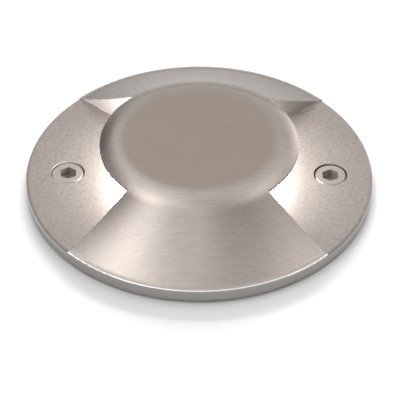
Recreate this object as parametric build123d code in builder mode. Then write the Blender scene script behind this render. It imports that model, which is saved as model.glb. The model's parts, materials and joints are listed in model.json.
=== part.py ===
from build123d import *
import os
from math import atan2, cos, radians, sin, sqrt, tan

# Recessed walk-over light: a cast steel cover with two lit pockets, a sealed lamp insert under it,
# and the plastic ground sleeve that both stand in.
# The origin is the centre of the cover's underside, at ground level. +Z points up, out of the ground.
# The lit pockets and the cover's screws lie on the X axis, and the two ramps on the Y axis.
# All lengths are in millimetres and all angles in degrees.

os.makedirs("parts", exist_ok=True)

# Cover, outside
COVER_H = 18.0
RIM_H = 3.7
RIM_ROUND = 0.3
RIM_LAND = 0.9
RAMP_FOOT_RUN = 0.75
TOP_FLAT_R = 24.2
SHOULDER_ROUND = 15.0
SHOULDER_TURN = 34.0
DOME_LAP = 2.3

# Cover, pockets and windows
POCKET_FLOOR_H = 3.45
POCKET_HALF_ANGLE = 39.2
POCKET_APEX_BACK = 6.2
POCKET_FOOT_ROUND = 0.9
POCKET_EDGE_ROUND = 1.0

# Cover, underside
ROOF_EDGE_T = 2.0
RAMP_WALL_T = 3.0
POCKET_WALL_T = 3.0
UNDER_RING_W = 9.5
UNDER_RIB_T = 3.0
BOSS_WALL_T = 1.15
BOSS_GAP = 0.3

# Cover screws, captive in the cover
SCREW_R = 3.0
SCREW_HEAD_R = 5.0
SCREW_HEAD_H = 6.0
SCREW_LENGTH = 16.0
SCREW_SUNK = 0.2
SCREW_EDGE = 0.35
HEX_KEY = 5.0
HEX_DEPTH = 3.0
HEX_TURN = 30
HEAD_GAP = 0.35
SHANK_GAP = 0.3
THREAD_GAP = 0.05
WASHER_T = 0.75
CAPTIVE_RING_T = 0.8
CAPTIVE_RING_W = 1.55
CAPTIVE_RING_GAP = 0.7

# Lens, its gasket and the ring that clamps it
LENS_R = 27.5
LENS_T = 3.0
LENS_TOP_GAP = 1.2
LENS_SIDE_GAP = 1.5
LENS_ROUND = 6.0
LENS_FLANGE_T = 2.0
LENS_FLANGE_W = 6.4
LENS_EDGE_GAP = 0.4
LENS_SEAT_W = 3.9
LENS_GASKET_T = 1.0
CLAMP_T = 2.0
CLAMP_BORE_GAP = 0.8
CLAMP_NOTCH_GAP = 0.9
CLAMP_SCREW_OUT = 3.9
CLAMP_EDGE_W = 4.0
CLAMP_RIM_W = 5.8

# Lamp housing
HOUSING_DROP = 7.0
FLANGE_GAP = 0.5
FLANGE_T = 3.0
LIP_T = 3.0
CUP_SHOULDER_W = 1.0
CUP_T = 2.5
CUP_FLOOR_T = 4.0
CUP_BOTTOM = 70.0
CUP_ROUND = 4.0
TAPPED_DEPTH = 3.0

# Small fixing screws: pan heads with a slot
M3_R = 1.25
M3_CLEAR_R = 1.65
M3_HEAD_R = 2.75
M3_HEAD_H = 2.0
M4_R = 1.65
M4_HEAD_R = 4.0
M4_HEAD_H = 2.8
SLOT_SHARE = 0.3
SLOT_DEPTH_SHARE = 0.45
CLAMP_SCREW_GRIP = 2.8

# Reflector, bracket and lamp holder
BRACKET_H = 24.0
BRACKET_T = 2.0
BRACKET_W = 23.0
BRACKET_GAP = 1.1
BRACKET_FOOT_LENGTH = 5.5
HOLDER_R = 9.0
HOLDER_BELOW = 12.0
HOLDER_ABOVE = 3.5
HOLDER_FLANGE_T = 2.5
HOLDER_FLANGE_W = 12.0
HOLDER_FLANGE_END = 4.0
HOLDER_GAP = 0.4
HOLDER_SCREW_OUT = 4.0
REFLECTOR_T = 1.0
REFLECTOR_BASE_OUT = 4.0
REFLECTOR_RIM_GAP = 0.5
REFLECTOR_RIM_DROP = 1.0
REFLECTOR_BULGE = 3.0

# Lamp: a capsule with two blade pins
LAMP_R = 8.0
LAMP_GLASS_T = 1.0
LAMP_TOP_GAP = 3.0
LAMP_BASE_STEP = 0.5
LAMP_BASE_H = 6.0
PIN_PITCH = 9.0
PIN_W = 3.2
PIN_T = 1.0
PIN_LENGTH = 8.0
BOARD_W = 10.0
BOARD_T = 1.2
BOARD_TOP_GAP = 12.0
CONTACT_T = 0.45
CONTACT_GAP = 0.1
CONTACT_H = 9.0
CONTACT_TAIL_R = 0.9
CONTACT_TAIL_LENGTH = 2.0

# Terminal block, leads and earth screw
BLOCK_GAP = 2.6
BLOCK_W = 10.0
BLOCK_LENGTH = 20.0
BLOCK_H = 11.0
BLOCK_EDGE = 0.6
POLE_INSET = 4.0
POLE_HOLE_R = 2.1
POLE_SCREW_GAP = 0.1
POLE_HOLE_DEPTH = 5.0
POLE_SCREW_H = 3.0
ENTRY_GAP = 0.4
ENTRY_H = 4.0
ENTRY_DEPTH = 8.0
LEAD_R = 0.9
LEAD_BEND_DROP = 4.8
LEAD_GRIP = 3.0

# Where the earth screw and the breather plug stand in the housing's floor
FITTING_INSET = 7.8
FITTING_TURN = 23.5

# Cable gland in the housing's floor
GLAND_R = 7.95
GLAND_HOLE_GAP = 0.15
GLAND_KEY = 20.0
GLAND_COLLAR_T = 4.0
GLAND_WASHER_T = 1.0
GLAND_WASHER_W = 2.4
GLAND_LOCKNUT_T = 3.0
GLAND_LOCKNUT_KEY = 22.0
GLAND_PROUD = 0.8
GLAND_LOWER_STEP = 0.45
GLAND_LOWER_LENGTH = 8.0
CABLE_R = 3.5
CABLE_GAP = 1.0
SEAL_T = 2.5
GLAND_NUT_LAP = 1.0
GLAND_NUT_LIP = 3.0
GLAND_NUT_GAP = 0.6

# Breather plug in the housing's floor
BREATHER_R = 4.0
BREATHER_KEY = 11.0
BREATHER_HEAD_T = 4.0
BREATHER_VENT_R = 0.9
BREATHER_GAP = 0.1

# Ground sleeve
COVER_LAP = 4.5
SLEEVE_T = 2.0
SLEEVE_GRIP_LENGTH = 30.0
SLEEVE_STEP = 1.5
SLEEVE_ROOM = 14.0
SLEEVE_FLOOR_T = 3.0
DRAIN_R = 20.0
SEAT_GASKET_T = 1.0
SEAT_GASKET_INSET = 0.4
SEAT_GASKET_STEP = 0.6
SHELF_GAP = 1.0
SHELF_T = 3.0
SHELF_WEB_T = 2.0
SHELF_WEB_DROP = 12.0
SEAT_RING_T = 2.0
SEAT_RING_GAP = 0.05
WEB_COUNT = 6
WEB_TURN = 30
POST_WALL_T = 1.5
POST_BELOW = 6.0
INSERT_R = 4.0
INSERT_LENGTH = 9.0
RIB_T = 2.0
RIB_COUNT = 2
RIB_PITCH = 22.0
RIB_START = 48.0
CONDUIT_R = 10.1
SOCKET_GAP = 0.05
SOCKET_TURN = 90
CONDUIT_WALL_T = 2.2
CONDUIT_DEPTH = 15.0
CONDUIT_MOUTH_DEPTH = 4.0
CONDUIT_MOUTH_W = 1.2
CONDUIT_STOP_T = 2.0
CONDUIT_STOP_W = 1.6
CONDUIT_RISE = 16.0
PLUG_T = 2.5
PLUG_GAP = 0.05

# How far cutting shapes run past what they cut
OVERRUN = 2.0

# Radii that follow from the ones above, from the lens outwards
lens_flange_r = LENS_R + LENS_FLANGE_W
lip_r = lens_flange_r - LENS_SEAT_W
recess_r = lens_flange_r + LENS_EDGE_GAP
clamp_screw_reach = recess_r + CLAMP_SCREW_OUT
clamp_r = clamp_screw_reach + CLAMP_EDGE_W
flange_r = clamp_r + CLAMP_RIM_W
sleeve_inner_r = flange_r + FLANGE_GAP
sleeve_r = sleeve_inner_r + SLEEVE_T
sleeve_lower_r = sleeve_r - SLEEVE_STEP
sleeve_lower_inner_r = sleeve_lower_r - SLEEVE_T
cover_r = sleeve_r + COVER_LAP
cavity_r = LENS_R + LENS_SIDE_GAP
dome_edge_r = cavity_r + DOME_LAP

# The cover's outline
ramp_foot_r = cover_r - RIM_ROUND - RIM_LAND
shoulder_end_r = TOP_FLAT_R + SHOULDER_ROUND * sin(radians(SHOULDER_TURN))
shoulder_end_h = COVER_H - SHOULDER_ROUND * (1 - cos(radians(SHOULDER_TURN)))
ramp_chord_turn = atan2(shoulder_end_h - RIM_H, ramp_foot_r - shoulder_end_r)
ramp_foot_turn = ramp_chord_turn * 2 - radians(SHOULDER_TURN)
ramp_foot_round = RAMP_FOOT_RUN / tan(ramp_foot_turn / 2)


def ramp_height(r):
    """The height of the ramp at a radius, taken along the straight line from its top to its foot."""
    share = (r - shoulder_end_r) / (ramp_foot_r - shoulder_end_r)
    return shoulder_end_h + (RIM_H - shoulder_end_h) * share


def cover_height(r):
    """The height of the cover's outside at a radius: the flat top, its shoulder or the ramp."""
    if r > shoulder_end_r:
        return ramp_height(r)
    across = max(r - TOP_FLAT_R, 0)
    return COVER_H - SHOULDER_ROUND + sqrt(SHOULDER_ROUND**2 - across**2)


# Other sizes that follow, from the cover down
under_ring_r = cover_r - UNDER_RING_W
boss_r = SCREW_HEAD_R + HEAD_GAP + BOSS_WALL_T
boss_drop = HOUSING_DROP - CAPTIVE_RING_T - CAPTIVE_RING_GAP
screw_reach = sleeve_inner_r - BOSS_GAP - boss_r
head_top = POCKET_FLOOR_H - SCREW_SUNK
head_seat = head_top - SCREW_HEAD_H
counterbore_floor = head_seat - WASHER_T
roof_h = cover_height(cavity_r) - ROOF_EDGE_T
lens_top = roof_h - LENS_TOP_GAP
flange_top = -HOUSING_DROP
flange_bottom = flange_top - FLANGE_T
lip_bottom = flange_bottom - LIP_T
lens_seat = flange_top - LENS_FLANGE_T
clamp_top = flange_top + CLAMP_T
cup_r = recess_r + CUP_SHOULDER_W
cup_inner_r = cup_r - CUP_T
cup_floor = CUP_FLOOR_T - CUP_BOTTOM
bracket_top = cup_floor + BRACKET_H
bracket_foot_reach = sqrt((cup_inner_r - BRACKET_GAP) ** 2 - (BRACKET_W / 2) ** 2)
bracket_leg_reach = bracket_foot_reach - BRACKET_FOOT_LENGTH
bracket_screw_reach = (bracket_leg_reach + bracket_foot_reach) / 2
holder_screw_reach = HOLDER_R + HOLDER_SCREW_OUT
holder_flange_length = (holder_screw_reach + HOLDER_FLANGE_END) * 2
holder_flange_top = bracket_top + HOLDER_FLANGE_T
holder_top = holder_flange_top + HOLDER_ABOVE
holder_bottom = bracket_top - HOLDER_BELOW
contact_bottom = holder_top - CONTACT_H - CONTACT_T
lead_start = holder_bottom - CONTACT_TAIL_LENGTH
reflector_floor = holder_flange_top + REFLECTOR_T
reflector_base_r = holder_screw_reach + REFLECTOR_BASE_OUT
reflector_rim_r = lip_r - REFLECTOR_RIM_GAP
reflector_rim = lip_bottom - REFLECTOR_RIM_DROP
lamp_top = lens_top - LENS_T - LAMP_TOP_GAP
lamp_glass_bottom = holder_top + LAMP_BASE_H
pole_reach = BLOCK_LENGTH / 2 - POLE_INSET
block_x = BLOCK_W / 2 - sqrt((cup_inner_r - BLOCK_GAP) ** 2 - (BLOCK_LENGTH / 2) ** 2)
entry_r = LEAD_R + ENTRY_GAP
fitting_reach = cup_inner_r - FITTING_INSET
fitting_x = fitting_reach * cos(radians(FITTING_TURN))
fitting_y = fitting_reach * sin(radians(FITTING_TURN))
gland_collar_top = -CUP_BOTTOM - GLAND_WASHER_T
gland_collar_bottom = gland_collar_top - GLAND_COLLAR_T
gland_bottom = gland_collar_bottom - GLAND_LOWER_LENGTH
gland_lower_r = GLAND_R - GLAND_LOWER_STEP
gland_bore_r = CABLE_R + CABLE_GAP
seal_r = CABLE_R + SEAL_T
shelf_top = flange_bottom - SEAT_GASKET_T
shelf_bore_r = cup_r + SHELF_GAP
seat_ring_r = sleeve_inner_r - SEAT_RING_GAP
skirt_inner_r = seat_ring_r - SEAT_RING_T
ledge_h = SLEEVE_T - SLEEVE_GRIP_LENGTH
post_r = INSERT_R + POST_WALL_T
post_length = INSERT_LENGTH + POST_BELOW
nut_bottom = gland_bottom - GLAND_NUT_LIP
sleeve_bottom = nut_bottom - SLEEVE_ROOM
sleeve_floor_top = sleeve_bottom + SLEEVE_FLOOR_T
conduit_h = sleeve_bottom + CONDUIT_RISE
socket_inner = sleeve_lower_r - CONDUIT_DEPTH
socket_r = CONDUIT_R + CONDUIT_WALL_T
mouth_inner = sleeve_lower_r - CONDUIT_MOUTH_DEPTH
mouth_r = CONDUIT_R + CONDUIT_MOUTH_W

both_screws = [(-screw_reach, 0), (screw_reach, 0)]
clamp_screw_side = clamp_screw_reach / sqrt(2)
clamp_sides = (-clamp_screw_side, clamp_screw_side)
clamp_spots = [(x, y) for x in clamp_sides for y in clamp_sides]
holder_screw_spots = [(0, -holder_screw_reach), (0, holder_screw_reach)]
bracket_screw_spots = [(0, -bracket_screw_reach), (0, bracket_screw_reach)]
pin_spots = [(0, -PIN_PITCH / 2), (0, PIN_PITCH / 2)]
pole_spots = [(block_x, -pole_reach), (block_x, pole_reach)]
earth_spot = (fitting_x, -fitting_y)
breather_spot = (fitting_x, fitting_y)


def wedge(near, far, widening, bottom, top):
    """A solid between a pocket's two side lines, from x = near to x = far, widened by a wall."""
    slope = tan(radians(POCKET_HALF_ANGLE))
    extra = widening / cos(radians(POCKET_HALF_ANGLE))
    near_y = slope * (near + POCKET_APEX_BACK) + extra
    far_y = slope * (far + POCKET_APEX_BACK) + extra
    with BuildPart() as solid:
        with BuildSketch(Plane.XY.offset(bottom)):
            Polygon((near, -near_y), (far, -far_y), (far, far_y), (near, near_y), align=None)
        extrude(amount=top - bottom)
    return solid


def ring(outer_r, inner_r, bottom, thickness):
    """A flat ring about the Z axis, such as a gasket."""
    with BuildPart() as solid:
        with BuildSketch(Plane.XY.offset(bottom)):
            Circle(outer_r)
            Circle(inner_r, mode=Mode.SUBTRACT)
        extrude(amount=thickness)
    return solid


def rings_at(spots, outer_r, inner_r, bottom, thickness):
    """The same small ring at each spot."""
    with BuildPart() as solids:
        with BuildSketch(Plane.XY.offset(bottom)):
            with Locations(*spots):
                Circle(outer_r)
                Circle(inner_r, mode=Mode.SUBTRACT)
        extrude(amount=thickness)
    return solids


def slotted_screws(spots, seat, head_r, head_h, shank_r, length):
    """Slotted screws with their heads standing on the height called seat."""
    with BuildPart() as solids:
        with BuildSketch(Plane.XY.offset(seat)):
            with Locations(*spots):
                Circle(head_r)
        extrude(amount=head_h)
        fillet(solids.edges().group_by(Axis.Z)[-1], radius=head_h * SLOT_SHARE)
        with BuildSketch(Plane.XY.offset(seat)):
            with Locations(*spots):
                Circle(shank_r)
        extrude(amount=-length)
        with BuildSketch(Plane.XY.offset(seat + head_h)):
            with Locations(*spots):
                Rectangle(head_r * 2 + OVERRUN, head_r * SLOT_SHARE)
        extrude(amount=-head_h * SLOT_DEPTH_SHARE, mode=Mode.SUBTRACT)
    return solids


def socket_screw(x):
    """A cover screw: a cylinder head with a hexagon socket, corners to the front and back."""
    with BuildPart() as solid:
        with BuildSketch(Plane.XY.offset(head_seat)):
            with Locations((x, 0)):
                Circle(SCREW_HEAD_R)
        extrude(amount=SCREW_HEAD_H)
        chamfer(solid.edges().group_by(Axis.Z)[-1], length=SCREW_EDGE)
        with BuildSketch(Plane.XY.offset(head_seat)):
            with Locations((x, 0)):
                Circle(SCREW_R)
        extrude(amount=-SCREW_LENGTH)
        chamfer(solid.edges().group_by(Axis.Z)[0], length=SCREW_EDGE)
        with BuildSketch(Plane.XY.offset(head_top)):
            with Locations((x, 0)):
                RegularPolygon(HEX_KEY / 2, 6, major_radius=False, rotation=HEX_TURN)
        extrude(amount=-HEX_DEPTH, mode=Mode.SUBTRACT)
    return solid


def hex_nut(key, bore_r, bottom, thickness):
    """A hexagon nut or collar about the Z axis."""
    with BuildPart() as solid:
        with BuildSketch(Plane.XY.offset(bottom)):
            RegularPolygon(key / 2, 6, major_radius=False)
            Circle(bore_r, mode=Mode.SUBTRACT)
        extrude(amount=thickness)
    return solid


# Cover
ramp_drop = RAMP_WALL_T / cos(radians(SHOULDER_TURN))
walled_pocket = wedge(0, cover_r + OVERRUN, POCKET_WALL_T, 0, COVER_H)

with BuildPart() as ramp_hollow:
    with BuildSketch(Plane.XZ):
        with BuildLine():
            Polyline(
                (cavity_r - OVERRUN, 0),
                (cavity_r - OVERRUN, shoulder_end_h - ramp_drop),
                (shoulder_end_r, shoulder_end_h - ramp_drop),
                (under_ring_r, ramp_height(under_ring_r) - ramp_drop),
                (under_ring_r, 0),
                close=True,
            )
        make_face()
    revolve(axis=Axis.Z)
    with BuildSketch():
        Rectangle(UNDER_RIB_T, cover_r * 2)
        Circle(cavity_r, mode=Mode.SUBTRACT)
    extrude(amount=COVER_H, mode=Mode.SUBTRACT)
    for turn in (0, 180):
        add(walled_pocket.part.rotate(Axis.Z, turn), mode=Mode.SUBTRACT)

pocket_wedge = wedge(cavity_r / 2, cover_r + OVERRUN, 0, POCKET_FLOOR_H, COVER_H + OVERRUN)
with BuildPart() as pocket:
    add(pocket_wedge.part)
    foot = pocket.edges().group_by(Axis.Z)[0].filter_by(lambda edge: abs(edge.center().Y) > OVERRUN)
    fillet(foot, radius=POCKET_FOOT_ROUND)
    with BuildSketch():
        Circle(dome_edge_r)
    extrude(amount=COVER_H + OVERRUN * 2, mode=Mode.SUBTRACT)

# The rounding of each pocket's floor where it meets the rim
edge_start_r = cover_r - POCKET_EDGE_ROUND
edge_end_h = POCKET_FLOOR_H - POCKET_EDGE_ROUND
edge_wedge = wedge(cavity_r / 2, cover_r + OVERRUN, 0, 0, COVER_H)
with BuildPart() as pocket_edge:
    with BuildSketch(Plane.XZ):
        with BuildLine():
            RadiusArc((edge_start_r, POCKET_FLOOR_H), (cover_r, edge_end_h), POCKET_EDGE_ROUND)
            Polyline(
                (cover_r, edge_end_h),
                (cover_r + OVERRUN, edge_end_h),
                (cover_r + OVERRUN, POCKET_FLOOR_H + OVERRUN),
                (edge_start_r, POCKET_FLOOR_H + OVERRUN),
                (edge_start_r, POCKET_FLOOR_H),
            )
        make_face()
    revolve(axis=Axis.Z)
    add(edge_wedge.part, mode=Mode.INTERSECT)

window = wedge(cavity_r / 2, dome_edge_r + OVERRUN, 0, POCKET_FLOOR_H, roof_h)

with BuildPart() as cover:
    with BuildSketch(Plane.XZ) as cover_profile:
        with BuildLine():
            Polyline((0, COVER_H), (0, 0), (cover_r, 0), (cover_r, RIM_H - RIM_ROUND))
            RadiusArc((cover_r, RIM_H - RIM_ROUND), (cover_r - RIM_ROUND, RIM_H), -RIM_ROUND)
            Line((cover_r - RIM_ROUND, RIM_H), (ramp_foot_r, RIM_H))
            shoulder = RadiusArc((TOP_FLAT_R, COVER_H), (shoulder_end_r, shoulder_end_h), SHOULDER_ROUND)
            TangentArc((shoulder_end_r, shoulder_end_h), (ramp_foot_r, RIM_H), tangent=shoulder % 1)
            Line((TOP_FLAT_R, COVER_H), (0, COVER_H))
        make_face()
        ramp_foot = cover_profile.vertices().filter_by(lambda point: abs(point.X - ramp_foot_r) < RIM_ROUND)
        fillet(ramp_foot.sort_by(Axis.Z)[-1], radius=ramp_foot_round)
    revolve(axis=Axis.Z)
    with BuildSketch():
        with Locations(*both_screws):
            Circle(boss_r)
    extrude(amount=-boss_drop)
    with BuildSketch():
        Circle(cavity_r)
    extrude(amount=roof_h, mode=Mode.SUBTRACT)
    add(ramp_hollow.part, mode=Mode.SUBTRACT)
    for turn in (0, 180):
        add(pocket.part.rotate(Axis.Z, turn), mode=Mode.SUBTRACT)
        add(window.part.rotate(Axis.Z, turn), mode=Mode.SUBTRACT)
        add(pocket_edge.part.rotate(Axis.Z, turn), mode=Mode.SUBTRACT)
    with Locations(Plane.XY.offset(POCKET_FLOOR_H)):
        with Locations(*both_screws):
            CounterBoreHole(
                radius=SCREW_R + SHANK_GAP,
                counter_bore_radius=SCREW_HEAD_R + HEAD_GAP,
                counter_bore_depth=POCKET_FLOOR_H - counterbore_floor,
                depth=POCKET_FLOOR_H + boss_drop + OVERRUN,
            )
cover.part.label = "cover"
export_step(cover.part, "parts/cover.step")

# Cover screws, their washers and the rings that keep them in the cover
cover_screw_left = socket_screw(-screw_reach)
cover_screw_left.part.label = "cover_screw_left"
export_step(cover_screw_left.part, "parts/cover_screw_left.step")

cover_screw_right = socket_screw(screw_reach)
cover_screw_right.part.label = "cover_screw_right"
export_step(cover_screw_right.part, "parts/cover_screw_right.step")

screw_washers = rings_at(both_screws, SCREW_HEAD_R, SCREW_R + SHANK_GAP, counterbore_floor, WASHER_T)
screw_washers.part.label = "screw_washers"
export_step(screw_washers.part, "parts/screw_washers.step")

captive_rings = rings_at(
    both_screws, SCREW_R + CAPTIVE_RING_W, SCREW_R + THREAD_GAP, -boss_drop - CAPTIVE_RING_T, CAPTIVE_RING_T
)
captive_rings.part.label = "captive_rings"
export_step(captive_rings.part, "parts/captive_rings.step")

# Lens: a frosted glass dome with a flange
with BuildPart() as lens:
    with BuildSketch(Plane.XZ):
        with BuildLine():
            inner_r = LENS_R - LENS_T
            inner_round = LENS_ROUND - LENS_T
            inner_top = lens_top - LENS_T
            Polyline((0, inner_top), (0, lens_top), (LENS_R - LENS_ROUND, lens_top))
            RadiusArc((LENS_R - LENS_ROUND, lens_top), (LENS_R, lens_top - LENS_ROUND), LENS_ROUND)
            Polyline(
                (LENS_R, lens_top - LENS_ROUND),
                (LENS_R, flange_top),
                (lens_flange_r, flange_top),
                (lens_flange_r, lens_seat),
                (inner_r, lens_seat),
                (inner_r, inner_top - inner_round),
            )
            RadiusArc((inner_r, inner_top - inner_round), (inner_r - inner_round, inner_top), -inner_round)
            Line((inner_r - inner_round, inner_top), (0, inner_top))
        make_face()
    revolve(axis=Axis.Z)
lens.part.label = "lens"
export_step(lens.part, "parts/lens.step")

lens_gasket = ring(lens_flange_r, lip_r, flange_bottom, LENS_GASKET_T)
lens_gasket.part.label = "lens_gasket"
export_step(lens_gasket.part, "parts/lens_gasket.step")

with BuildPart() as clamp_ring:
    with BuildSketch(Plane.XY.offset(flange_top)):
        Circle(clamp_r)
        Circle(LENS_R + CLAMP_BORE_GAP, mode=Mode.SUBTRACT)
        with Locations(*both_screws):
            Circle(boss_r + CLAMP_NOTCH_GAP, mode=Mode.SUBTRACT)
        with Locations(*clamp_spots):
            Circle(M3_CLEAR_R, mode=Mode.SUBTRACT)
    extrude(amount=CLAMP_T)
clamp_ring.part.label = "clamp_ring"
export_step(clamp_ring.part, "parts/clamp_ring.step")

clamp_ring_screws = slotted_screws(
    clamp_spots, clamp_top, M3_HEAD_R, M3_HEAD_H, M3_R, CLAMP_T + CLAMP_SCREW_GRIP
)
clamp_ring_screws.part.label = "clamp_ring_screws"
export_step(clamp_ring_screws.part, "parts/clamp_ring_screws.step")

# Lamp housing: a die-cast cup with a wide flange
with BuildPart() as lamp_housing:
    with BuildSketch(Plane.XZ):
        with BuildLine():
            Polyline(
                (0, cup_floor),
                (0, -CUP_BOTTOM),
                (cup_r, -CUP_BOTTOM),
                (cup_r, flange_bottom),
                (flange_r, flange_bottom),
                (flange_r, flange_top),
                (recess_r, flange_top),
                (recess_r, flange_bottom),
                (lip_r, flange_bottom),
                (lip_r, lip_bottom),
                (cup_inner_r, lip_bottom),
                (cup_inner_r, cup_floor),
                close=True,
            )
        make_face()
    revolve(axis=Axis.Z)
    fillet(lamp_housing.edges().group_by(Axis.Z)[0], radius=CUP_ROUND)
    with BuildSketch(Plane.XY.offset(flange_top)):
        with Locations(*both_screws):
            Circle(SCREW_R + SHANK_GAP)
        with Locations(*clamp_spots):
            Circle(M3_R)
    extrude(amount=-FLANGE_T, mode=Mode.SUBTRACT)
    with BuildSketch(Plane.XY.offset(cup_floor)):
        Circle(GLAND_R + GLAND_HOLE_GAP)
        with Locations(breather_spot):
            Circle(BREATHER_R + BREATHER_GAP)
    extrude(amount=-CUP_FLOOR_T, mode=Mode.SUBTRACT)
    with BuildSketch(Plane.XY.offset(cup_floor)):
        with Locations(*bracket_screw_spots, (block_x, 0)):
            Circle(M3_R)
        with Locations(earth_spot):
            Circle(M4_R)
    extrude(amount=-TAPPED_DEPTH, mode=Mode.SUBTRACT)
lamp_housing.part.label = "lamp_housing"
export_step(lamp_housing.part, "parts/lamp_housing.step")

# Bracket, lamp holder and reflector
leg_inner = bracket_leg_reach - BRACKET_T
bracket_foot_top = cup_floor + BRACKET_T
with BuildPart() as holder_bracket:
    with BuildSketch(Plane.YZ):
        with BuildLine():
            half = Polyline(
                (0, bracket_top - BRACKET_T),
                (leg_inner, bracket_top - BRACKET_T),
                (leg_inner, cup_floor),
                (bracket_foot_reach, cup_floor),
                (bracket_foot_reach, bracket_foot_top),
                (bracket_leg_reach, bracket_foot_top),
                (bracket_leg_reach, bracket_top),
                (0, bracket_top),
            )
            mirror(half, about=Plane.YZ)
        make_face()
    extrude(amount=BRACKET_W / 2, both=True)
    with BuildSketch(Plane.XY.offset(bracket_top)):
        Circle(HOLDER_R + HOLDER_GAP)
        with Locations(*holder_screw_spots):
            Circle(M3_R)
    extrude(amount=-BRACKET_T, mode=Mode.SUBTRACT)
    with BuildSketch(Plane.XY.offset(bracket_foot_top)):
        with Locations(*bracket_screw_spots):
            Circle(M3_CLEAR_R)
    extrude(amount=-BRACKET_T, mode=Mode.SUBTRACT)
holder_bracket.part.label = "holder_bracket"
export_step(holder_bracket.part, "parts/holder_bracket.step")

bracket_screws = slotted_screws(
    bracket_screw_spots, bracket_foot_top, M3_HEAD_R, M3_HEAD_H, M3_R, BRACKET_T + TAPPED_DEPTH
)
bracket_screws.part.label = "bracket_screws"
export_step(bracket_screws.part, "parts/bracket_screws.step")

slot_x = PIN_W + CONTACT_GAP * 4
slot_y = PIN_T + (CONTACT_GAP * 2 + CONTACT_T) * 2
with BuildPart() as lamp_holder:
    with BuildSketch(Plane.XY.offset(holder_bottom)):
        Circle(HOLDER_R)
    extrude(amount=holder_top - holder_bottom)
    with BuildSketch(Plane.XY.offset(bracket_top)):
        SlotOverall(holder_flange_length, HOLDER_FLANGE_W, rotation=90)
        with Locations(*holder_screw_spots):
            Circle(M3_CLEAR_R, mode=Mode.SUBTRACT)
    extrude(amount=HOLDER_FLANGE_T)
    with BuildSketch(Plane.XY.offset(holder_top)):
        with Locations(*pin_spots):
            Rectangle(slot_x, slot_y)
    extrude(amount=contact_bottom - holder_top, mode=Mode.SUBTRACT)
    with BuildSketch(Plane.XY.offset(contact_bottom)):
        with Locations(*pin_spots):
            Circle(CONTACT_TAIL_R + CONTACT_GAP)
    extrude(amount=holder_bottom - contact_bottom, mode=Mode.SUBTRACT)
lamp_holder.part.label = "lamp_holder"
export_step(lamp_holder.part, "parts/lamp_holder.step")

with BuildPart() as holder_contacts:
    with BuildSketch(Plane.XY.offset(contact_bottom)):
        with Locations(*pin_spots):
            Rectangle(PIN_W, PIN_T + (CONTACT_GAP + CONTACT_T) * 2)
    extrude(amount=CONTACT_H + CONTACT_T)
    with BuildSketch(Plane.XY.offset(contact_bottom + CONTACT_T)):
        with Locations(*pin_spots):
            Rectangle(PIN_W + OVERRUN, PIN_T + CONTACT_GAP * 2)
    extrude(amount=CONTACT_H, mode=Mode.SUBTRACT)
    with BuildSketch(Plane.XY.offset(contact_bottom)):
        with Locations(*pin_spots):
            Circle(CONTACT_TAIL_R)
    extrude(amount=lead_start - contact_bottom)
holder_contacts.part.label = "holder_contacts"
export_step(holder_contacts.part, "parts/holder_contacts.step")

with BuildPart() as reflector:
    with BuildSketch(Plane.XZ):
        with BuildLine():
            middle_r = (reflector_base_r + reflector_rim_r) / 2 + REFLECTOR_BULGE / 2
            middle_h = (holder_flange_top + reflector_rim) / 2 - REFLECTOR_BULGE / 2
            Polyline(
                (reflector_base_r - REFLECTOR_T, reflector_floor),
                (HOLDER_R + HOLDER_GAP, reflector_floor),
                (HOLDER_R + HOLDER_GAP, holder_flange_top),
                (reflector_base_r, holder_flange_top),
            )
            ThreePointArc(
                (reflector_base_r, holder_flange_top),
                (middle_r, middle_h),
                (reflector_rim_r, reflector_rim),
            )
            Line((reflector_rim_r, reflector_rim), (reflector_rim_r - REFLECTOR_T, reflector_rim))
            ThreePointArc(
                (reflector_rim_r - REFLECTOR_T, reflector_rim),
                (middle_r - REFLECTOR_T, middle_h + REFLECTOR_T / 2),
                (reflector_base_r - REFLECTOR_T, reflector_floor),
            )
        make_face()
    revolve(axis=Axis.Z)
    with BuildSketch(Plane.XY.offset(holder_flange_top)):
        with Locations(*holder_screw_spots):
            Circle(M3_CLEAR_R)
    extrude(amount=REFLECTOR_T, mode=Mode.SUBTRACT)
reflector.part.label = "reflector"
export_step(reflector.part, "parts/reflector.step")

holder_screws = slotted_screws(
    holder_screw_spots, reflector_floor, M3_HEAD_R, M3_HEAD_H, M3_R,
    REFLECTOR_T + HOLDER_FLANGE_T + BRACKET_T,
)
holder_screws.part.label = "holder_screws"
export_step(holder_screws.part, "parts/holder_screws.step")

# Lamp
with BuildPart() as lamp_envelope:
    with BuildSketch(Plane.XZ):
        with BuildLine():
            Line((0, lamp_top - LAMP_GLASS_T), (0, lamp_top))
            RadiusArc((0, lamp_top), (LAMP_R, lamp_top - LAMP_R), LAMP_R)
            Polyline(
                (LAMP_R, lamp_top - LAMP_R),
                (LAMP_R, lamp_glass_bottom),
                (LAMP_R - LAMP_GLASS_T, lamp_glass_bottom),
                (LAMP_R - LAMP_GLASS_T, lamp_top - LAMP_R),
            )
            RadiusArc(
                (LAMP_R - LAMP_GLASS_T, lamp_top - LAMP_R),
                (0, lamp_top - LAMP_GLASS_T),
                LAMP_GLASS_T - LAMP_R,
            )
        make_face()
    revolve(axis=Axis.Z)
lamp_envelope.part.label = "lamp_envelope"
export_step(lamp_envelope.part, "parts/lamp_envelope.step")

with BuildPart() as lamp_base:
    with BuildSketch(Plane.XY.offset(holder_top)):
        Circle(LAMP_R - LAMP_BASE_STEP)
    extrude(amount=LAMP_BASE_H)
lamp_base.part.label = "lamp_base"
export_step(lamp_base.part, "parts/lamp_base.step")

with BuildPart() as lamp_pins:
    with BuildSketch(Plane.XY.offset(holder_top)):
        with Locations(*pin_spots):
            Rectangle(PIN_W, PIN_T)
    extrude(amount=-PIN_LENGTH)
lamp_pins.part.label = "lamp_pins"
export_step(lamp_pins.part, "parts/lamp_pins.step")

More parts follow.
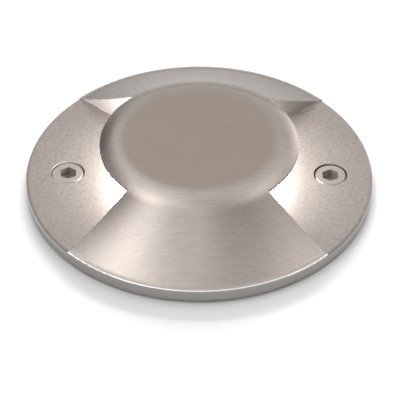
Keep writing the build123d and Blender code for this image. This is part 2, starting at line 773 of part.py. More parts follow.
with BuildPart() as led_board:
    with BuildSketch(Plane.XY.offset(lamp_glass_bottom)):
        Rectangle(BOARD_W, BOARD_T)
    extrude(amount=lamp_top - BOARD_TOP_GAP - lamp_glass_bottom)
led_board.part.label = "led_board"
export_step(led_board.part, "parts/led_board.step")

# Terminal block and its screws
block_top = cup_floor + BLOCK_H
pole_floor = block_top - POLE_HOLE_DEPTH
entry_height = cup_floor + ENTRY_H
block_face = block_x + BLOCK_W / 2
with BuildPart() as terminal_block:
    with BuildSketch(Plane.XY.offset(cup_floor)):
        with Locations((block_x, 0)):
            Rectangle(BLOCK_W, BLOCK_LENGTH)
    extrude(amount=BLOCK_H)
    chamfer(terminal_block.edges().group_by(Axis.Z)[-1], length=BLOCK_EDGE)
    with BuildSketch(Plane.XY.offset(block_top)):
        with Locations(*pole_spots):
            Circle(POLE_HOLE_R)
        with Locations((block_x, 0)):
            Circle(M3_HEAD_R + POLE_SCREW_GAP)
    extrude(amount=-POLE_HOLE_DEPTH, mode=Mode.SUBTRACT)
    with BuildSketch(Plane.XY.offset(pole_floor)):
        with Locations((block_x, 0)):
            Circle(M3_CLEAR_R)
    extrude(amount=cup_floor - pole_floor, mode=Mode.SUBTRACT)
    with BuildSketch(Plane.YZ.offset(block_face)):
        with Locations((-pole_reach, entry_height), (pole_reach, entry_height)):
            Circle(entry_r)
    extrude(amount=-ENTRY_DEPTH, mode=Mode.SUBTRACT)
terminal_block.part.label = "terminal_block"
export_step(terminal_block.part, "parts/terminal_block.step")

terminal_screws = slotted_screws(
    pole_spots, pole_floor + POLE_SCREW_GAP, POLE_HOLE_R - POLE_SCREW_GAP, POLE_SCREW_H,
    POLE_HOLE_R - POLE_SCREW_GAP, POLE_SCREW_GAP,
)
terminal_screws.part.label = "terminal_screws"
export_step(terminal_screws.part, "parts/terminal_screws.step")

terminal_block_screw = slotted_screws(
    [(block_x, 0)], pole_floor, M3_HEAD_R, M3_HEAD_H, M3_R, pole_floor - cup_floor + TAPPED_DEPTH
)
terminal_block_screw.part.label = "terminal_block_screw"
export_step(terminal_block_screw.part, "parts/terminal_block_screw.step")

earth_screw = slotted_screws([earth_spot], cup_floor, M4_HEAD_R, M4_HEAD_H, M4_R, TAPPED_DEPTH)
earth_screw.part.label = "earth_screw"
export_step(earth_screw.part, "parts/earth_screw.step")


# Leads from the lamp holder's contacts to the terminal block
def lead(side):
    """One insulated lead. It drops from its contact, bends, and runs into its terminal."""
    start = (0, side * PIN_PITCH / 2, lead_start)
    bend = (0, side * PIN_PITCH / 2, lead_start - LEAD_BEND_DROP)
    end = (block_face - LEAD_GRIP, side * pole_reach, entry_height)
    before_block = (block_face + LEAD_GRIP, side * pole_reach, entry_height)
    with BuildPart() as solid:
        with BuildLine():
            route = FilletPolyline(start, bend, before_block, end, radius=[LEAD_BEND_DROP / 2, LEAD_GRIP])
        with BuildSketch(Plane(origin=start, z_dir=(0, 0, -1))):
            Circle(LEAD_R)
        sweep(path=route)
    return solid


line_lead = lead(1)
line_lead.part.label = "line_lead"
export_step(line_lead.part, "parts/line_lead.step")

neutral_lead = lead(-1)
neutral_lead.part.label = "neutral_lead"
export_step(neutral_lead.part, "parts/neutral_lead.step")

# Cable gland
with BuildPart() as gland_body:
    with BuildSketch(Plane.XY.offset(gland_collar_bottom)):
        RegularPolygon(GLAND_KEY / 2, 6, major_radius=False)
    extrude(amount=GLAND_COLLAR_T)
    with BuildSketch(Plane.XY.offset(gland_collar_top)):
        Circle(GLAND_R)
    extrude(amount=GLAND_WASHER_T + CUP_FLOOR_T + GLAND_LOCKNUT_T + GLAND_PROUD)
    with BuildSketch(Plane.XY.offset(gland_collar_bottom)):
        Circle(gland_lower_r)
    extrude(amount=-GLAND_LOWER_LENGTH)
    with BuildSketch(Plane.XY.offset(gland_bottom)):
        Circle(seal_r)
    extrude(amount=GLAND_LOWER_LENGTH, mode=Mode.SUBTRACT)
    with BuildSketch(Plane.XY.offset(gland_bottom)):
        Circle(gland_bore_r)
    extrude(amount=CUP_BOTTOM, mode=Mode.SUBTRACT)
gland_body.part.label = "gland_body"
export_step(gland_body.part, "parts/gland_body.step")

gland_locknut = hex_nut(GLAND_LOCKNUT_KEY, GLAND_R, cup_floor, GLAND_LOCKNUT_T)
gland_locknut.part.label = "gland_locknut"
export_step(gland_locknut.part, "parts/gland_locknut.step")

gland_washer = ring(GLAND_R + GLAND_WASHER_W, GLAND_R + GLAND_HOLE_GAP, gland_collar_top, GLAND_WASHER_T)
gland_washer.part.label = "gland_washer"
export_step(gland_washer.part, "parts/gland_washer.step")

gland_seal = ring(seal_r, CABLE_R, gland_bottom, GLAND_LOWER_LENGTH)
gland_seal.part.label = "gland_seal"
export_step(gland_seal.part, "parts/gland_seal.step")

nut_top = gland_collar_bottom - GLAND_NUT_GAP
with BuildPart() as gland_nut:
    with BuildSketch(Plane.XY.offset(gland_bottom - GLAND_NUT_LAP)):
        RegularPolygon(GLAND_KEY / 2, 6, major_radius=False)
    extrude(amount=nut_top - gland_bottom + GLAND_NUT_LAP)
    with BuildSketch(Plane.XY.offset(gland_bottom - GLAND_NUT_LAP)):
        Circle(GLAND_KEY / 2)
    with BuildSketch(Plane.XY.offset(nut_bottom)):
        Circle(seal_r)
    loft()
    with BuildSketch(Plane.XY.offset(nut_bottom)):
        Circle(gland_bore_r)
    extrude(amount=GLAND_NUT_LIP, mode=Mode.SUBTRACT)
    with BuildSketch(Plane.XY.offset(gland_bottom)):
        Circle(gland_lower_r)
    extrude(amount=GLAND_LOWER_LENGTH, mode=Mode.SUBTRACT)
gland_nut.part.label = "gland_nut"
export_step(gland_nut.part, "parts/gland_nut.step")

# Breather plug
with BuildPart() as breather_plug:
    with BuildSketch(Plane.XY.offset(-CUP_BOTTOM - BREATHER_HEAD_T)):
        with Locations(breather_spot):
            RegularPolygon(BREATHER_KEY / 2, 6, major_radius=False)
    extrude(amount=BREATHER_HEAD_T)
    with BuildSketch(Plane.XY.offset(-CUP_BOTTOM)):
        with Locations(breather_spot):
            Circle(BREATHER_R)
    extrude(amount=CUP_FLOOR_T)
    with BuildSketch(Plane.XY.offset(cup_floor)):
        with Locations(breather_spot):
            Circle(BREATHER_VENT_R)
    extrude(amount=-CUP_FLOOR_T - BREATHER_HEAD_T, mode=Mode.SUBTRACT)
breather_plug.part.label = "breather_plug"
export_step(breather_plug.part, "parts/breather_plug.step")

# Gasket between the housing's flange and the sleeve's shelf
with BuildPart() as seat_gasket:
    with BuildSketch(Plane.XY.offset(shelf_top)):
        Circle(flange_r - SEAT_GASKET_INSET)
        Circle(shelf_bore_r + SEAT_GASKET_STEP, mode=Mode.SUBTRACT)
        with Locations(*both_screws):
            Circle(SCREW_R + SHANK_GAP, mode=Mode.SUBTRACT)
    extrude(amount=SEAT_GASKET_T)
seat_gasket.part.label = "seat_gasket"
export_step(seat_gasket.part, "parts/seat_gasket.step")

# The hole for a conduit socket in the sleeve's wall, at the back
with BuildPart() as socket_hole:
    with BuildSketch(Plane.XZ.offset(-sleeve_r)):
        with Locations((0, conduit_h)):
            Circle(socket_r + SOCKET_GAP)
    extrude(amount=sleeve_r - socket_inner)

# Ground sleeve
with BuildPart() as ground_sleeve:
    with BuildSketch(Plane.XZ):
        with BuildLine():
            Polyline(
                (sleeve_inner_r, 0),
                (sleeve_r, 0),
                (sleeve_r, -SLEEVE_GRIP_LENGTH),
                (sleeve_lower_r, -SLEEVE_GRIP_LENGTH),
                (sleeve_lower_r, sleeve_floor_top),
                (sleeve_r, sleeve_floor_top),
                (sleeve_r, sleeve_bottom),
                (DRAIN_R, sleeve_bottom),
                (DRAIN_R, sleeve_floor_top),
                (sleeve_lower_inner_r, sleeve_floor_top),
                (sleeve_lower_inner_r, ledge_h),
                (sleeve_inner_r, ledge_h),
                close=True,
            )
        make_face()
    revolve(axis=Axis.Z)
    for rib in range(RIB_COUNT):
        with BuildSketch(Plane.XY.offset(-RIB_START - rib * RIB_PITCH)):
            Circle(sleeve_r)
            Circle(sleeve_lower_r, mode=Mode.SUBTRACT)
        extrude(amount=-RIB_T)
    for turn in (0, SOCKET_TURN):
        add(socket_hole.part.rotate(Axis.Z, turn), mode=Mode.SUBTRACT)
ground_sleeve.part.label = "ground_sleeve"
export_step(ground_sleeve.part, "parts/ground_sleeve.step")

# Seat ring, moulded apart and welded into the sleeve: a shelf on a skirt, with webs and two screw posts
shelf_bottom = shelf_top - SHELF_T
with BuildPart() as seat_ring:
    with BuildSketch(Plane.XZ):
        with BuildLine():
            Polyline(
                (shelf_bore_r, shelf_bottom),
                (shelf_bore_r, shelf_top),
                (seat_ring_r, shelf_top),
                (seat_ring_r, ledge_h),
                (skirt_inner_r, ledge_h),
                (skirt_inner_r, shelf_bottom),
                close=True,
            )
        make_face()
    revolve(axis=Axis.Z)
    web_end_r = (skirt_inner_r + seat_ring_r) / 2
    with BuildSketch(Plane.XY.offset(shelf_bottom)):
        with PolarLocations(0, WEB_COUNT, start_angle=WEB_TURN):
            with Locations(((shelf_bore_r + web_end_r) / 2, 0)):
                Rectangle(web_end_r - shelf_bore_r, SHELF_WEB_T)
    extrude(amount=-SHELF_WEB_DROP)
    with BuildSketch(Plane.XY.offset(shelf_top)):
        with Locations(*both_screws):
            Circle(post_r)
    extrude(amount=-post_length)
    with BuildSketch(Plane.XY.offset(shelf_top)):
        with Locations(*both_screws):
            Circle(INSERT_R)
    extrude(amount=-INSERT_LENGTH, mode=Mode.SUBTRACT)
    with BuildSketch(Plane.XY.offset(shelf_top)):
        with Locations(*both_screws):
            Circle(SCREW_R + SHANK_GAP)
    extrude(amount=SHELF_WEB_T - post_length, mode=Mode.SUBTRACT)
seat_ring.part.label = "seat_ring"
export_step(seat_ring.part, "parts/seat_ring.step")

brass_inserts = rings_at(
    both_screws, INSERT_R, SCREW_R + THREAD_GAP, shelf_top - INSERT_LENGTH, INSERT_LENGTH
)
brass_inserts.part.label = "brass_inserts"
export_step(brass_inserts.part, "parts/brass_inserts.step")

# Conduit sockets, moulded apart and set in the sleeve's wall: one at the back and one a quarter turn from it
with BuildPart() as back_socket:
    with BuildSketch(Plane.XZ.offset(-sleeve_r)):
        with Locations((0, conduit_h)):
            Circle(socket_r)
    extrude(amount=sleeve_r - socket_inner + CONDUIT_STOP_T)
    with BuildSketch(Plane.XY):
        Circle(sleeve_r)
    extrude(amount=sleeve_bottom, mode=Mode.INTERSECT)
    with BuildSketch(Plane.XZ.offset(-sleeve_r)):
        with Locations((0, conduit_h)):
            Circle(mouth_r)
    extrude(amount=sleeve_r - mouth_inner, mode=Mode.SUBTRACT)
    with BuildSketch(Plane.XZ.offset(-sleeve_r)):
        with Locations((0, conduit_h)):
            Circle(CONDUIT_R)
    extrude(amount=sleeve_r - socket_inner, mode=Mode.SUBTRACT)
    with BuildSketch(Plane.XZ.offset(-sleeve_r)):
        with Locations((0, conduit_h)):
            Circle(CONDUIT_R - CONDUIT_STOP_W)
    extrude(amount=sleeve_r, mode=Mode.SUBTRACT)

with BuildPart() as conduit_sockets:
    for turn in (0, SOCKET_TURN):
        add(back_socket.part.rotate(Axis.Z, turn))
conduit_sockets.part.label = "conduit_sockets"
export_step(conduit_sockets.part, "parts/conduit_sockets.step")

# Rubber plug in the conduit socket that isn't used, drawn at the back and turned to its place
plug_face = sleeve_lower_r - SLEEVE_T
plug_hollow = plug_face - PLUG_T
with BuildPart() as back_plug:
    with BuildSketch(Plane.XZ.offset(-plug_face)):
        with Locations((0, conduit_h)):
            Circle(mouth_r - PLUG_GAP)
    extrude(amount=plug_face - mouth_inner)
    with BuildSketch(Plane.XZ.offset(-plug_face)):
        with Locations((0, conduit_h)):
            Circle(CONDUIT_R - PLUG_GAP)
    extrude(amount=plug_face - socket_inner)
    with BuildSketch(Plane.XZ.offset(-plug_hollow)):
        with Locations((0, conduit_h)):
            Circle(CONDUIT_R - PLUG_T)
    extrude(amount=plug_hollow - socket_inner, mode=Mode.SUBTRACT)

with BuildPart() as blanking_plug:
    add(back_plug.part.rotate(Axis.Z, SOCKET_TURN))
blanking_plug.part.label = "blanking_plug"
export_step(blanking_plug.part, "parts/blanking_plug.step")
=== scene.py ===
import json
import math

import bpy
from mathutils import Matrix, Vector

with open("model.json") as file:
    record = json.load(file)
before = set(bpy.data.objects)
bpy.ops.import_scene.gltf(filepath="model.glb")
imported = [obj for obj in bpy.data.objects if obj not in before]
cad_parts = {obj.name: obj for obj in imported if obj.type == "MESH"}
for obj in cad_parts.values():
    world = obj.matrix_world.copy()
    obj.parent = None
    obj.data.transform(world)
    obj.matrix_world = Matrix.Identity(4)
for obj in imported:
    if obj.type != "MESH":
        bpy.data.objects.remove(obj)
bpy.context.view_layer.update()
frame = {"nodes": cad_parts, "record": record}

MM = 0.001

# The photograph's camera, fitted to the rim, the ramps, the pockets and the two screws
PHOTO_PX = 400
FOCAL_PX = 2405.0
SENSOR_MM = 36.0
CAMERA_ELEVATION = math.radians(40.81)
CAMERA_TURN = 0.0131
CAMERA_DISTANCE = 0.7666
CAMERA_CLIP_END = 100
ORIGIN_PX = (199.18, 181.65)

# Sizes of the cover that its finish follows
COVER_R = 55 * MM
DOME_EDGE_R = 31.3 * MM
DOME_FLAT_R = 24.2 * MM
POCKET_SLOPE = math.tan(math.radians(39.2))
POCKET_APEX_BACK = 6.2 * MM
POCKET_FLOOR_H = 3.45 * MM
ROOF_H = 15.2 * MM

# How far each finish reaches past the edge that it follows
POCKET_LINE_SLACK = 0.05 * MM
DOME_EDGE_SLACK = 0.03 * MM
ROOF_SLACK = 0.05 * MM
FLOOR_SLACK = 0.6 * MM
RIM_WALL_SLACK = 0.02 * MM
FLAT_FADE_INSIDE = 1.5 * MM
FLAT_FADE_OUTSIDE = 1.0 * MM
RIM_POLISH_AND_HIGHLIGHT = 0.8 * MM

# Which way a face looks, as parts of its unit normal
DOWNWARD_BELOW = -0.2
UPRIGHT_BELOW = 0.5
BACKWARD_ABOVE = 0.2

# The brush runs along x. It is a hair off the axis, so that faces square to x get a direction too.
BRUSH_ALONG = (1, 0.01, 0.005)
BRUSHED_STRETCH = 0.85
BRUSHED_ROUGH = (0.26, 0.29)
BRUSHED_BUMP = 0.0003 * MM
FINE_LINES = (140, 2200, 2200)
FAINT_LINES = (60, 900, 900)
FINE_SHARE = 0.75
PATCH_SCALE = 45.0
RIM_ROUGH = 0.2

# The blasted faces. Under 1, metal lets a blasted surface scatter light.
CAST_METAL = 0.35
CAST_WALL_METAL = 0.4
CAST_ROUGH = 0.58
CAST_BUMP = 0.045 * MM
GRAIN_SCALE = 2600.0
LUMP_SCALE = 1100.0

# How much of each second colour is mixed in
WARM_SHARE = 0.3
TOP_REFLECTION_SHARE = 0.7
BACK_SHADE_SHARE = 0.45
WALL_LIGHT_SHADE_SHARE = 0.8

# The ground: a ring about the sleeve's hole
FLOOR_HOLE_R = 51.0 * MM
FLOOR_R = 6.0
FLOOR_H = -1.0 * MM
FLOOR_STEPS = 128
FLOOR_GREY = 0.8
FLOOR_LIFT = 0.02

# The glow of the frosted lens and of the lamp behind it, as colour and strength
GLOW = {
    "lens_glass": ((1.0, 1.0, 1.0), 16.0),
    "lamp_glass": ((1.0, 0.96, 0.88), 3.0),
}

# The studio's light: an even level, and panels as elevation, azimuth, tightness and added strength
WORLD_LEVEL = 0.8
WORLD_DARKEST = 0.05
CAMERA_WHITE = 1.0
PANELS = [
    (13, 128, 40, -1.5),
    (27, 119, 60, -0.8),
    (15, 53, 50, 3.2),
    (8, 92, 60, 0.4),
    (32, 97, 60, -0.3),
    (38, 107, 120, 0.3),
    (45, 169, 30, -0.7),
    (59, 30, 60, 1.7),
    (58, 348, 60, -0.7),
    (56, 110, 90, 1.0),
    (56, 70, 90, 0.6),
    (66, 90, 60, 0.3),
    (56, 146, 90, -0.5),
    (64, 172, 60, 3.6),
    (64, 205, 60, -0.7),
    (74, 150, 60, 1.0),
    (74, 270, 60, 0.9),
    (35, 270, 6, -0.55),
    (25, 200, 20, -0.7),
    (50, 225, 20, 1.15),
]
BACK_LAMP_SIZE = (0.9, 0.3)
BACK_LAMP_WATTS = 22.0
BACK_LAMP_REACH = 1.5
BACK_LAMP_ELEVATION = 28
BACK_AZIMUTH = 90


def srgb(red, green, blue):
    """A colour given as 0 to 255 display values, in the linear values that a shader takes."""
    linear = []
    for channel in (red, green, blue):
        share = channel / 255
        linear.append(share / 12.92 if share <= 0.04045 else ((share + 0.055) / 1.055) ** 2.4)
    return tuple(linear)


BRUSHED_DARK = srgb(164, 156, 150)
BRUSHED_PALE = srgb(180, 172, 166)
BRUSHED_WARM = srgb(172, 156, 146)
# A browner tone for the flat of the dome: a painted reflection
BRUSHED_TOP_PAINTED_REFLECTION = srgb(167, 152, 140)
# Painted shade for the brushed faces that look backward
BRUSHED_PAINTED_SHADE = srgb(120, 113, 108)
CAST_DARK = srgb(125, 117, 112)
CAST_PALE = srgb(158, 150, 144)
# The pocket walls: painted light on the left ones, painted shade on the right ones
WALL_PAINTED_LIGHT = srgb(238, 231, 226)
WALL_PAINTED_SHADE = srgb(124, 117, 113)
# A near-white painted highlight along the rim's top edge
RIM_PAINTED_HIGHLIGHT = srgb(236, 233, 229)
RIM_SIDE = srgb(170, 167, 163)
FROST_DARK = srgb(226, 224, 218)
FROST_PALE = srgb(244, 242, 236)

# Steels and other plain metals, as colour, roughness and metal
METALS = {
    "screw_steel": (srgb(176, 167, 159), 0.36, 0.75),
    # The clamp ring is near white so that it looks lit by the lens beside it: painted light.
    "clamp_steel": (srgb(240, 240, 240), 0.6, 1.0),
    "fixing_steel": (srgb(196, 198, 200), 0.3, 1.0),
    "bright_aluminium": (srgb(226, 226, 228), 0.15, 1.0),
    "bracket_steel": (srgb(190, 193, 196), 0.34, 1.0),
    "contact_brass": (srgb(205, 168, 92), 0.28, 1.0),
    "lamp_pin_metal": (srgb(205, 205, 206), 0.2, 1.0),
}

# Plastics, rubbers, ceramics and the painted casting, as colour, roughness and depth of grain in millimetres
MOULDINGS = {
    "nylon": (srgb(226, 223, 214), 0.5, 0.01),
    "seal_rubber": (srgb(38, 38, 39), 0.75, 0.02),
    "cast_aluminium": (srgb(128, 130, 132), 0.55, 0.03),
    "holder_ceramic": (srgb(232, 227, 214), 0.3, 0.01),
    "lamp_plastic": (srgb(238, 238, 236), 0.3, 0.01),
    "board": (srgb(222, 226, 220), 0.4, 0.01),
    "terminal_plastic": (srgb(224, 220, 206), 0.45, 0.01),
    "lead_brown": (srgb(92, 54, 34), 0.5, 0.01),
    "lead_blue": (srgb(38, 74, 148), 0.5, 0.01),
    "gland_plastic": (srgb(46, 46, 48), 0.5, 0.02),
    "sleeve_plastic": (srgb(44, 44, 45), 0.55, 0.03),
}

# Slots that take another slot's material
SAME_AS = {"breather_plastic": "gland_plastic", "plug_rubber": "seal_rubber"}


def point_camera():
    """The camera stands at the fitted place and is aimed so that the origin falls on its pixel."""
    data = bpy.data.cameras.new("photo_camera")
    data.sensor_width = SENSOR_MM
    data.lens = FOCAL_PX / PHOTO_PX * SENSOR_MM
    data.clip_end = CAMERA_CLIP_END
    camera = bpy.data.objects.new("photo_camera", data)
    bpy.context.scene.collection.objects.link(camera)
    reach = CAMERA_DISTANCE * math.cos(CAMERA_ELEVATION)
    camera.location = (
        reach * math.sin(CAMERA_TURN),
        -reach * math.cos(CAMERA_TURN),
        CAMERA_DISTANCE * math.sin(CAMERA_ELEVATION),
    )
    ahead = -Vector(camera.location).normalized()
    right = ahead.cross(Vector((0, 0, 1))).normalized()
    up = right.cross(ahead)
    centre = PHOTO_PX / 2
    aim = ahead * FOCAL_PX + right * (centre - ORIGIN_PX[0]) - up * (centre - ORIGIN_PX[1])
    camera.rotation_euler = aim.to_track_quat("-Z", "Y").to_euler()
    bpy.context.scene.camera = camera


class Shader:
    """A material or world under construction. A value given to a node may be a number or another node's socket."""

    def __init__(self, name, kind="materials", output="ShaderNodeOutputMaterial"):
        self.material = getattr(bpy.data, kind).new(name)
        self.material.use_nodes = True
        self.tree = self.material.node_tree
        self.tree.nodes.clear()
        self.output = self.tree.nodes.new(output)

    def node(self, kind, inputs=None, **settings):
        made = self.tree.nodes.new(kind)
        for key, value in settings.items():
            setattr(made, key, value)
        for key, value in (inputs or {}).items():
            socket = made.inputs[key]
            if isinstance(value, bpy.types.NodeSocket):
                self.tree.links.new(value, socket)
            else:
                socket.default_value = value
        return made

    def finish(self, made):
        """The node's first output is what the material or world shows."""
        self.tree.links.new(made.outputs[0], self.output.inputs[0])

    def math(self, operation, first, second=0.0):
        return self.node("ShaderNodeMath", {0: first, 1: second}, operation=operation).outputs[0]

    def vector(self, operation, first, second):
        return self.node("ShaderNodeVectorMath", {0: first, 1: second}, operation=operation)

    def split(self, vector):
        """The x, y and z of a vector."""
        return tuple(self.node("ShaderNodeSeparateXYZ", {0: vector}).outputs)

    def coordinates(self):
        """Object coordinates, which are the frame's metres."""
        return self.node("ShaderNodeTexCoord").outputs["Object"]

    def scaled(self, vector, scale):
        return self.node("ShaderNodeMapping", {"Vector": vector, "Scale": scale}).outputs[0]

    def noise(self, vector, scale, detail, roughness):
        inputs = {"Vector": vector, "Scale": scale, "Detail": detail, "Roughness": roughness}
        return self.node("ShaderNodeTexNoise", inputs).outputs[0]

    def rise(self, value, start, end):
        """0 up to the start and 1 from the end on."""
        return self.node("ShaderNodeMapRange", {0: value, 1: start, 2: end}).outputs[0]

    def ramp(self, value, low, dark, high, pale):
        """Dark at the low value and pale at the high one."""
        made = self.node("ShaderNodeValToRGB", {0: value})
        for stop, position, colour in zip(made.color_ramp.elements, (low, high), (dark, pale)):
            stop.position = position
            stop.color = (*colour, 1)
        return made.outputs[0]

    def mix(self, share, first, second):
        colours = [value if isinstance(value, bpy.types.NodeSocket) else (*value, 1) for value in (first, second)]
        made = self.node("ShaderNodeMix", {0: share, 6: colours[0], 7: colours[1]}, data_type="RGBA")
        return made.outputs[2]

    def mix_number(self, share, first, second):
        return self.node("ShaderNodeMix", {0: share, 2: first, 3: second}, data_type="FLOAT").outputs[0]

    def mix_vector(self, share, first, second):
        return self.node("ShaderNodeMix", {0: share, 4: first, 5: second}, data_type="VECTOR").outputs[1]

    def bump(self, height, distance):
        inputs = {"Height": height, "Distance": distance, "Strength": 1.0}
        return self.node("ShaderNodeBump", inputs).outputs[0]

    def principled(self, **inputs):
        named = {key.replace("_", " "): value for key, value in inputs.items()}
        made = self.node("ShaderNodeBsdfPrincipled", named)
        self.finish(made)
        return made


def cast_mask(sh, x, y, z, radius, facing_down):
    """1 in the pockets and on the faces that look down."""
    across = sh.math("ABSOLUTE", x)
    along = sh.math("ABSOLUTE", y)
    line = sh.math("MULTIPLY", sh.math("ADD", across, POCKET_APEX_BACK), POCKET_SLOPE)
    inside_lines = sh.math("LESS_THAN", along, sh.math("ADD", line, POCKET_LINE_SLACK))
    outside_dome = sh.math("GREATER_THAN", radius, DOME_EDGE_R + DOME_EDGE_SLACK)
    under_dome = sh.math("LESS_THAN", z, ROOF_H + ROOF_SLACK)
    above_floor = sh.math("GREATER_THAN", z, POCKET_FLOOR_H - FLOOR_SLACK)
    off_the_wall = sh.math("LESS_THAN", radius, COVER_R - RIM_WALL_SLACK)
    pocket = sh.math("MULTIPLY", inside_lines, sh.math("MAXIMUM", outside_dome, under_dome))
    pocket = sh.math("MULTIPLY", pocket, sh.math("MULTIPLY", above_floor, off_the_wall))
    return sh.math("MAXIMUM", pocket, facing_down)


def cover_steel():
    """Cast stainless: machined and brushed across on the dome, ramps and rim, blasted in the pockets and below."""
    sh = Shader("cover_steel")
    coords = sh.coordinates()
    x, y, z = sh.split(coords)
    normal = sh.node("ShaderNodeNewGeometry").outputs["Normal"]
    backward, upward = sh.split(normal)[1:]
    facing_down = sh.math("LESS_THAN", upward, DOWNWARD_BELOW)
    upright = sh.math("LESS_THAN", sh.math("ABSOLUTE", upward), UPRIGHT_BELOW)
    radius = sh.math("SQRT", sh.math("ADD", sh.math("MULTIPLY", x, x), sh.math("MULTIPLY", y, y)))
    cast = cast_mask(sh, x, y, z, radius, facing_down)

    # Brushed faces: short fine lines across the light, over faint clouds
    fine = sh.noise(sh.scaled(coords, FINE_LINES), 1.0, 2.0, 0.6)
    faint = sh.noise(sh.scaled(coords, FAINT_LINES), 1.0, 2.0, 0.5)
    patches = sh.noise(coords, PATCH_SCALE, 2.0, 0.5)
    fine_part = sh.math("MULTIPLY", fine, FINE_SHARE)
    streaks = sh.math("ADD", fine_part, sh.math("MULTIPLY", faint, 1 - FINE_SHARE))
    brushed_colour = sh.ramp(streaks, 0.3, BRUSHED_DARK, 0.7, BRUSHED_PALE)
    brushed_colour = sh.mix(sh.math("MULTIPLY", patches, WARM_SHARE), brushed_colour, BRUSHED_WARM)
    # The flat of the dome gets a browner tone: a painted reflection.
    off_the_flat = sh.rise(radius, DOME_FLAT_R - FLAT_FADE_INSIDE, DOME_FLAT_R + FLAT_FADE_OUTSIDE)
    on_the_flat = sh.math("SUBTRACT", 1.0, off_the_flat)
    brushed_colour = sh.mix(sh.math("MULTIPLY", on_the_flat, TOP_REFLECTION_SHARE), brushed_colour, BRUSHED_TOP_PAINTED_REFLECTION)
    # Faces that look backward are darkened: painted shade.
    facing_back = sh.math("GREATER_THAN", backward, BACKWARD_ABOVE)
    brushed_colour = sh.mix(sh.math("MULTIPLY", facing_back, BACK_SHADE_SHARE), brushed_colour, BRUSHED_PAINTED_SHADE)
    brushed_rough = sh.mix_number(streaks, *BRUSHED_ROUGH)

    # The rim's wall and top edge are turned smooth. The top edge gets a near-white painted highlight, and the wall
    # keeps a plain colour.
    rim = sh.rise(radius, COVER_R - RIM_POLISH_AND_HIGHLIGHT, COVER_R - 0.5 * RIM_POLISH_AND_HIGHLIGHT)
    brushed_colour = sh.mix(rim, brushed_colour, sh.mix(upright, RIM_PAINTED_HIGHLIGHT, RIM_SIDE))
    brushed_rough = sh.mix_number(rim, brushed_rough, RIM_ROUGH)

    # Blasted faces: grains of a few tenths of a millimetre. The left walls get painted light and the right ones
    # painted shade.
    grain = sh.noise(coords, GRAIN_SCALE, 4.0, 0.6)
    lumps = sh.noise(coords, LUMP_SCALE, 3.0, 0.6)
    cast_height = sh.math("ADD", sh.math("MULTIPLY", grain, 0.5), sh.math("MULTIPLY", lumps, 0.5))
    cast_colour = sh.ramp(cast_height, 0.35, CAST_DARK, 0.65, CAST_PALE)
    wall_painted_light_and_shade = sh.mix(sh.math("GREATER_THAN", x, 0.0), WALL_PAINTED_LIGHT, WALL_PAINTED_SHADE)
    cast_colour = sh.mix(sh.math("MULTIPLY", upright, WALL_LIGHT_SHADE_SHARE), cast_colour, wall_painted_light_and_shade)

    made = sh.principled(
        Base_Color=sh.mix(cast, brushed_colour, cast_colour),
        Metallic=sh.mix_number(cast, 1.0, sh.mix_number(upright, CAST_METAL, CAST_WALL_METAL)),
        Roughness=sh.mix_number(cast, brushed_rough, CAST_ROUGH),
        Anisotropic=sh.mix_number(cast, BRUSHED_STRETCH, 0.0),
        Normal=sh.mix_vector(cast, sh.bump(streaks, BRUSHED_BUMP), sh.bump(cast_height, CAST_BUMP)),
    )
    lay = sh.vector("CROSS_PRODUCT", normal, BRUSH_ALONG).outputs[0]
    sh.tree.links.new(lay, made.inputs["Tangent"])
    return sh.material


def plain_metal(name, colour, roughness, metal):
    """Satin metal with fine grain."""
    sh = Shader(name)
    grain = sh.noise(sh.coordinates(), 1500.0, 3.0, 0.6)
    dark = tuple(channel * 0.86 for channel in colour)
    base = sh.ramp(grain, 0.3, dark, 0.7, colour)
    rough = sh.mix_number(grain, roughness - 0.05, roughness + 0.07)
    sh.principled(Base_Color=base, Metallic=metal, Roughness=rough, Normal=sh.bump(grain, 0.006 * MM))
    return sh.material


def moulded(name, colour, roughness, grain_depth):
    """A moulded plastic, rubber or ceramic with a faint skin texture."""
    sh = Shader(name)
    coords = sh.coordinates()
    skin = sh.noise(coords, 1400.0, 3.0, 0.5)
    cloud = sh.noise(coords, 60.0, 2.0, 0.5)
    dark = tuple(channel * 0.85 for channel in colour)
    base = sh.ramp(cloud, 0.3, dark, 0.7, colour)
    rough = sh.mix_number(skin, roughness - 0.06, roughness + 0.06)
    sh.principled(Base_Color=base, Roughness=rough, Normal=sh.bump(skin, grain_depth * MM))
    return sh.material


def lit_glass(name, colour, strength):
    """Frosted glass that glows from the lamp behind it."""
    sh = Shader(name)
    frost = sh.noise(sh.coordinates(), 1800.0, 3.0, 0.5)
    base = sh.ramp(frost, 0.3, FROST_DARK, 0.7, FROST_PALE)
    made = sh.principled(Base_Color=base, Roughness=0.45, Normal=sh.bump(frost, 0.01 * MM))
    made.inputs["Emission Color"].default_value = (*colour, 1)
    made.inputs["Emission Strength"].default_value = strength
    return sh.material


def finish_cad_nodes():
    """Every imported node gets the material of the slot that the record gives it."""
    made = {"cover_steel": cover_steel()}
    for build, rows in ((plain_metal, METALS), (moulded, MOULDINGS), (lit_glass, GLOW)):
        for name, values in rows.items():
            made[name] = build(name, *values)
    for name, other in SAME_AS.items():
        made[name] = made[other]
    for part in frame["record"]["subparts"]:
        mesh = frame["nodes"][part["node"]].data
        mesh.materials.clear()
        mesh.materials.append(made[part["material_slot"]])


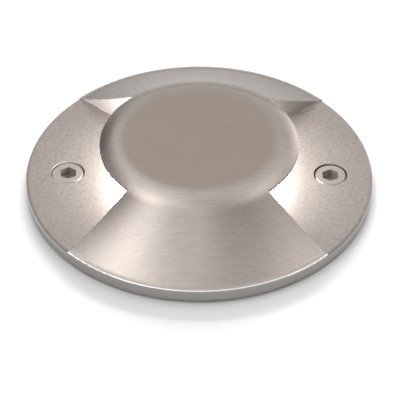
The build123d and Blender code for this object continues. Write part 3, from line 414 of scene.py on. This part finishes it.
def floor_material():
    """White ground that keeps shadows. From below it is clear, so that the buried parts can be seen."""
    sh = Shader("ground")
    path = sh.node("ShaderNodeLightPath").outputs
    seen = sh.math("MAXIMUM", path["Is Camera Ray"], path["Is Glossy Ray"])
    seen = sh.math("MAXIMUM", seen, path["Is Transmission Ray"])
    white = sh.node("ShaderNodeBsdfDiffuse", {"Color": (FLOOR_GREY, FLOOR_GREY, FLOOR_GREY, 1)})
    strength = sh.math("MULTIPLY", seen, FLOOR_LIFT)
    lift = sh.node("ShaderNodeEmission", {"Color": (1, 1, 1, 1), "Strength": strength})
    ground = sh.node("ShaderNodeAddShader", {0: white.outputs[0], 1: lift.outputs[0]})
    clear = sh.node("ShaderNodeBsdfTransparent")
    below = sh.node("ShaderNodeNewGeometry").outputs["Backfacing"]
    sh.finish(sh.node("ShaderNodeMixShader", {0: below, 1: ground.outputs[0], 2: clear.outputs[0]}))
    return sh.material


def lay_floor():
    """The ground a little under the rim, with the hole that the sleeve stands in."""
    turn = 2 * math.pi / FLOOR_STEPS
    points = []
    faces = []
    for radius in (FLOOR_HOLE_R, FLOOR_R):
        points += [(radius * math.cos(i * turn), radius * math.sin(i * turn), 0) for i in range(FLOOR_STEPS)]
    for i in range(FLOOR_STEPS):
        following = (i + 1) % FLOOR_STEPS
        faces.append((i, i + FLOOR_STEPS, following + FLOOR_STEPS, following))
    mesh = bpy.data.meshes.new("ground")
    mesh.from_pydata(points, [], faces)
    mesh.materials.append(floor_material())
    ground = bpy.data.objects.new("ground", mesh)
    ground.location.z = FLOOR_H
    bpy.context.scene.collection.objects.link(ground)


def direction(elevation, azimuth):
    """A unit vector. Azimuth runs from the right, through the back at 90 degrees, to the left at 180."""
    rise, turn = math.radians(elevation), math.radians(azimuth)
    return math.cos(rise) * math.cos(turn), math.cos(rise) * math.sin(turn), math.sin(rise)


def light_world():
    """A pale studio all round, with soft brighter and darker panels. The camera itself sees plain white."""
    sh = Shader("studio", "worlds", "ShaderNodeOutputWorld")
    toward = sh.node("ShaderNodeTexCoord").outputs["Generated"]
    level = WORLD_LEVEL
    for elevation, azimuth, tightness, strength in PANELS:
        facing = sh.vector("DOT_PRODUCT", toward, direction(elevation, azimuth)).outputs["Value"]
        lobe = sh.math("POWER", sh.math("MAXIMUM", facing, 0.0), tightness)
        level = sh.math("ADD", sh.math("MULTIPLY", lobe, strength), level)
    level = sh.math("MAXIMUM", level, WORLD_DARKEST)
    seen = sh.node("ShaderNodeLightPath").outputs["Is Camera Ray"]
    strength = sh.mix_number(seen, level, CAMERA_WHITE)
    sh.finish(sh.node("ShaderNodeBackground", {"Color": (1, 1, 1, 1), "Strength": strength}))
    bpy.context.scene.world = sh.material


def add_back_lamp():
    """A wide softbox behind the object, kept out of the metal's reflections, for the shadow in front of the rim."""
    data = bpy.data.lights.new("back_softbox", "AREA")
    data.shape = "RECTANGLE"
    data.size, data.size_y = BACK_LAMP_SIZE
    data.energy = BACK_LAMP_WATTS
    lamp = bpy.data.objects.new("back_softbox", data)
    lamp.location = Vector(direction(BACK_LAMP_ELEVATION, BACK_AZIMUTH)) * BACK_LAMP_REACH
    lamp.rotation_euler = (-lamp.location).to_track_quat("-Z", "Y").to_euler()
    lamp.visible_glossy = False
    bpy.context.scene.collection.objects.link(lamp)


point_camera()
finish_cad_nodes()
lay_floor()
light_world()
add_back_lamp()
bpy.context.scene.view_settings.view_transform = "Standard"
